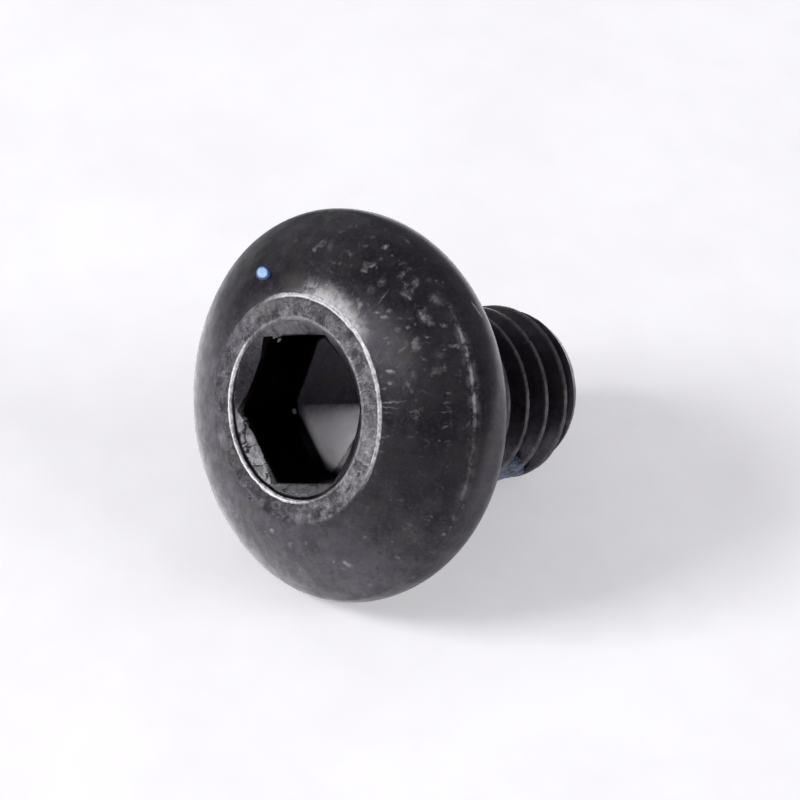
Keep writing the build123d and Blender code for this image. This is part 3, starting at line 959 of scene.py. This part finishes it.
    # the oxide's own sheen, rubbed off where the steel is worn
    dull = T.math("MAXIMUM", T.math("MAXIMUM", T.math("MULTIPLY", onland, 0.7), incs), T.math("MAXIMUM", T.math("MULTIPLY", wear_and_painted_light, 1.6), inside))
    sheen = T.math("SUBTRACT", 1.0, dull, clamp=True)
    handled = T.ramp(T.noise(T.warp(P, 3.0, 0.22), 2.6, 5.0, 0.68), 0.42, 0.60, 0.66, 1.0)
    sheen = T.math("MULTIPLY", sheen, handled)
    T.link(T.math("MULTIPLY", sheen, T.ramp(hh, CREASE_H - 0.3, CREASE_H + 0.1, 0.55, 1.0)), bsdf.inputs["Coat Weight"])
    T.link(T.math("ADD", T.math("MULTIPLY", grain, 0.12), 0.08), bsdf.inputs["Coat Roughness"])
    bsdf.inputs["Coat IOR"].default_value = 1.5

    bump1 = T.node("ShaderNodeBump")
    bump1.inputs["Strength"].default_value = 0.25
    bump1.inputs["Distance"].default_value = 0.000006
    T.link(fine, bump1.inputs["Height"])
    bump2 = T.node("ShaderNodeBump")
    bump2.inputs["Strength"].default_value = 0.5
    bump2.inputs["Distance"].default_value = 0.00003
    raw = T.math("MAXIMUM", onland, incs)
    T.link(T.math("ADD", T.math("MULTIPLY", grain, T.math("ADD", T.math("MULTIPLY", raw, 0.5), 0.12)),
                  T.math("MULTIPLY", T.math("MULTIPLY", blot, raw), 0.55)), bump2.inputs["Height"])
    T.link(bump1.outputs[0], bump2.inputs["Normal"])
    T.link(bump2.outputs[0], bsdf.inputs["Normal"])
    T.link(bump2.outputs[0], bsdf.inputs["Coat Normal"])
    return mat


def compound(name, light=False):
    mat = bpy.data.materials.new(name)
    T = Tree(mat)
    out = T.node("ShaderNodeOutputMaterial")
    bsdf = T.node("ShaderNodeBsdfPrincipled")
    T.link(bsdf.outputs[0], out.inputs[0])
    rr, hh, an, x, y, P = axis_coords(T)
    n1 = T.noise(P, 3.0, 4.0, 0.6)
    n2 = T.noise(P, 12.0, 3.0, 0.6)
    if light:
        col = T.mixc(T.ramp(n2, 0.35, 0.65), (0.33, 0.58, 0.90), (0.46, 0.70, 0.95))
        gap = T.vec("SUBTRACT", P, (DROP_R * math.cos(math.radians(DROP_DEG)), DROP_R * math.sin(math.radians(DROP_DEG)), DROP_H))
        gap = T.vec("SUBTRACT", gap, tuple(0.045 * c for c in DROP_N))
        # thin and dark round its foot: the distance is taken square to DROP_LEAN
        across = T.vec("LENGTH", T.vec("CROSS_PRODUCT", gap, DROP_LEAN))
        col = T.mixc(T.ramp(across, 0.110, 0.165), col, (0.02, 0.05, 0.20))
    else:
        top = T.ramp(T.math("ADD", rr, T.math("MULTIPLY", T.math("SUBTRACT", n2, 0.5), 0.10)), 2.385, 2.485)
        col = T.mixc(T.ramp(n1, 0.40, 0.62), (0.012, 0.020, 0.040), (0.040, 0.062, 0.095))
        col = T.mixc(T.math("MULTIPLY", top, 0.85), col, (0.115, 0.145, 0.22))
        # pale flecks here and there: painted highlights on the film
        col = T.mixc(T.math("MULTIPLY", T.ramp(n2, 0.56, 0.68), 0.4), col, (0.26, 0.32, 0.44))
    T.link(col, bsdf.inputs["Base Color"])
    T.link(T.math("ADD", T.math("MULTIPLY", n2, 0.2), 0.35), bsdf.inputs["Roughness"])
    b = T.node("ShaderNodeBump")
    b.inputs["Strength"].default_value = 0.5
    b.inputs["Distance"].default_value = 0.00004
    T.link(n2, b.inputs["Height"])
    T.link(b.outputs[0], bsdf.inputs["Normal"])
    return mat


mesh.materials.append(steel())
film.data.materials.append(compound("threadlocker_dried"))
drop.data.materials.append(compound("threadlocker_drop", light=True))

for o, s in ((screw, "blackened_steel"), (film, "threadlocker"), (drop, "threadlocker")):
    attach(o, "root")
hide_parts("screw")
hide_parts("threadlocker_patch")

# ------------------------------------------------------------------ floor, light, camera
GLOW = 0.36
fm = bpy.data.meshes.new("floor")
s = 0.6
fm.from_pydata([(-s, -s, 0), (s, -s, 0), (s, s, 0), (-s, s, 0)], [], [(0, 1, 2, 3)])
floor = bpy.data.objects.new("floor", fm)
bpy.context.scene.collection.objects.link(floor)
mat = bpy.data.materials.new("paper")
T = Tree(mat)
out = T.node("ShaderNodeOutputMaterial")
bsdf = T.node("ShaderNodeBsdfPrincipled")
T.link(bsdf.outputs[0], out.inputs[0])
bsdf.inputs["Roughness"].default_value = 0.9
bsdf.inputs["Specular IOR Level"].default_value = 0.0
tc = T.node("ShaderNodeTexCoord")
n1 = T.noise(tc.outputs["Object"], 160.0, 4.0, 0.6)
n2 = T.noise(tc.outputs["Object"], 900.0, 3.0, 0.6)
paper = T.math("ADD", T.math("MULTIPLY", n1, 0.7), T.math("MULTIPLY", n2, 0.3))
col = T.mixc(T.ramp(paper, 0.35, 0.65), (0.858, 0.846, 0.876), (0.900, 0.890, 0.915))
dist = T.vec("LENGTH", T.vec("ADD", tc.outputs["Object"], (0.0060, 0.0068, 0.0)))
lpath = T.node("ShaderNodeLightPath")
glossy = lpath.outputs["Is Glossy Ray"]
away = T.vec("DOT_PRODUCT", tc.outputs["Object"], (-0.7534, 0.6576, 0.0))
side = T.vec("DOT_PRODUCT", tc.outputs["Object"], (0.6576, 0.7534, 0.0))
# painted shade in reflections: darker beside the head, far away and in front
painted_contact_shade = T.math("MULTIPLY", T.math("MULTIPLY", T.ramp(away, 0.009, 0.003), T.ramp(side, -0.003, 0.002)), 0.55)
painted_reflection_shade = T.math("MULTIPLY", T.math("MAXIMUM", T.math("MAXIMUM", painted_contact_shade, T.ramp(dist, 0.013, 0.058)), T.math("MULTIPLY", T.math("MULTIPLY", T.ramp(away, 0.005, 0.018), T.ramp(side, 0.003, -0.009)), 0.95)), glossy)
painted_front_reflection_shade = T.math("MULTIPLY", T.ramp(T.vec("DOT_PRODUCT", tc.outputs["Object"], (0.7534, -0.6576, 0.0)), 0.0, 0.016), glossy)
# the floor's colour is painted darker where those reflections fall
T.link(T.mixc(T.math("MAXIMUM", T.math("MULTIPLY", painted_reflection_shade, 0.6), T.math("MULTIPLY", painted_front_reflection_shade, 0.6)), col, (0.1, 0.1, 0.1)),
       bsdf.inputs["Base Color"])
# the table glows a little, a painted glow that is brighter in reflections; in reflections it is also painted darker far
# away, in front and beside the head
T.link(col, bsdf.inputs["Emission Color"])
T.link(T.math("MULTIPLY", T.math("MULTIPLY", T.math("MULTIPLY_ADD", glossy, 0.30, GLOW), T.math("MULTIPLY_ADD", painted_front_reflection_shade, -0.6, 1.0)),
              T.math("MULTIPLY_ADD", painted_reflection_shade, -0.95, 1.0)),
       bsdf.inputs["Emission Strength"])
fm.materials.append(mat)

world = bpy.data.worlds.new("studio")
bpy.context.scene.world = world
world.use_nodes = True
wt = world.node_tree
wt.nodes.clear()
wo = wt.nodes.new("ShaderNodeOutputWorld")
bg1 = wt.nodes.new("ShaderNodeBackground")
bg2 = wt.nodes.new("ShaderNodeBackground")
mix = wt.nodes.new("ShaderNodeMixShader")
lp = wt.nodes.new("ShaderNodeLightPath")
bg1.inputs["Color"].default_value = (0.97, 0.96, 1.0, 1)
bg1.inputs["Strength"].default_value = 0.26
bg2.inputs["Color"].default_value = (0.97, 0.96, 1.0, 1)
bg2.inputs["Strength"].default_value = 0.25
wt.links.new(lp.outputs["Is Glossy Ray"], mix.inputs[0])
wt.links.new(bg1.outputs[0], mix.inputs[1])
wt.links.new(bg2.outputs[0], mix.inputs[2])
bg3 = wt.nodes.new("ShaderNodeBackground")
bg3.inputs["Color"].default_value = (0.97, 0.96, 1.0, 1)
bg3.inputs["Strength"].default_value = 0.60
mix2 = wt.nodes.new("ShaderNodeMixShader")
wt.links.new(lp.outputs["Is Camera Ray"], mix2.inputs[0])
wt.links.new(mix.outputs[0], mix2.inputs[1])
wt.links.new(bg3.outputs[0], mix2.inputs[2])
wt.links.new(mix2.outputs[0], wo.inputs[0])


def area(name, direction, distance, size, size_y, watts, color=(1, 1, 1), glossy=True, diffuse=True, spread=180):
    d = np.array(direction, float)
    d /= np.linalg.norm(d)
    light = bpy.data.lights.new(name, "AREA")
    light.shape = "RECTANGLE"
    light.size, light.size_y = size, size_y
    light.energy = watts
    light.color = color
    light.spread = math.radians(spread)
    o = bpy.data.objects.new(name, light)
    o.location = Vector(d * distance + np.array([0, 0, 0.005]))
    o.rotation_mode = "QUATERNION"
    o.rotation_quaternion = Vector(-d).to_track_quat("-Z", "Y")
    o.visible_glossy = glossy
    o.visible_diffuse = diffuse
    o.visible_camera = False
    bpy.context.scene.collection.objects.link(o)
    return o


area("key_left", (-0.570, -0.718, 0.398), 0.30, 0.09, 0.08, 0.165, diffuse=False)
area("key_wide", (-0.33, -0.72, 0.615), 0.30, 0.115, 0.10, 0.56, glossy=False)
area("card_left", (-0.570, -0.830, 0.075), 0.080, 0.050, 0.018, 0.0056, diffuse=False)
area("back_left", (-0.88, 0.12, 0.46), 0.40, 0.40, 0.34, 0.055, diffuse=False)
area("fill_right", (0.80, 0.36, 0.48), 0.30, 0.14, 0.12, 0.26, glossy=False)
area("overhead", (-0.16, -0.78, 0.60), 0.40, 0.22, 0.22, 0.10, diffuse=False)

cam_data = bpy.data.cameras.new("camera")
cam = bpy.data.objects.new("camera", cam_data)
bpy.context.scene.collection.objects.link(cam)
C_RIGHT = np.array([0.65759035, 0.75337569, 0.0])
C_DOWN = np.array([0.49247977, -0.42986514, -0.75675599])
C_FWD = np.cross(C_RIGHT, C_DOWN)
rot = Matrix((C_RIGHT, -C_DOWN, -C_FWD)).transposed()
cam.matrix_world = Matrix.Translation(Vector(CAM_POS * MM)) @ rot.to_4x4()
cam_data.sensor_width = 36.0
cam_data.lens = 220.764
cam_data.clip_start = 0.005
cam_data.clip_end = 10.0
bpy.context.scene.camera = cam
bpy.context.scene.view_settings.view_transform = "Standard"
